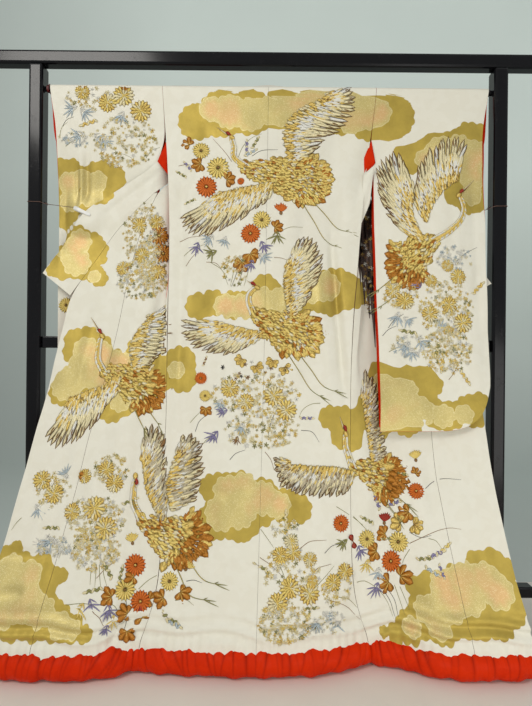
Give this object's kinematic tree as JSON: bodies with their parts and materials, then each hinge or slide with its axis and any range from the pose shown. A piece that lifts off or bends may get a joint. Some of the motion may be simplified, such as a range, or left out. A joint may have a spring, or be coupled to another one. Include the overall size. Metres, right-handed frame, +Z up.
{
  "type": "uchikake wedding kimono on a display rack",
  "caption": "Padded-hem wedding kimono hung back outwards on the rod of a black lacquered rack, its fronts opened out and clipped to the posts.",
  "frame": {"origin": "middle of the rack's footprint, on the floor", "axes": "+Z up, +X to the right of a viewer who faces the garment's back, -Y towards that viewer"},
  "size_m": [1.8, 0.5592, 1.783],
  "materials": {
    "silk": "ivory figured silk with gold and coloured embroidery",
    "red_silk": "vermilion silk",
    "lacquer": "black lacquer",
    "cap": "dark red lacquer",
    "clip": "white",
    "cord": "brown twisted cord"
  },
  "bodies": {
    "root": {"back_left": "silk", "front_left": "silk", "back_right": "silk", "front_right": "silk", "okumi_left": "silk", "okumi_right": "silk", "collar": "silk", "sleeve_left": "silk", "sleeve_right": "silk", "sleeve_lining_left": "red_silk", "sleeve_lining_right": "red_silk", "hem_roll": "red_silk", "post_left": "lacquer", "post_right": "lacquer", "top_rail": "lacquer", "middle_rail": "lacquer", "lower_rail": "lacquer", "foot_left": "lacquer", "foot_right": "lacquer", "rod": "lacquer", "rod_cap": "cap", "clip_left": "clip", "clip_right": "clip", "cord_left": "cord", "cord_right": "cord"}
  },
  "joints": []
}
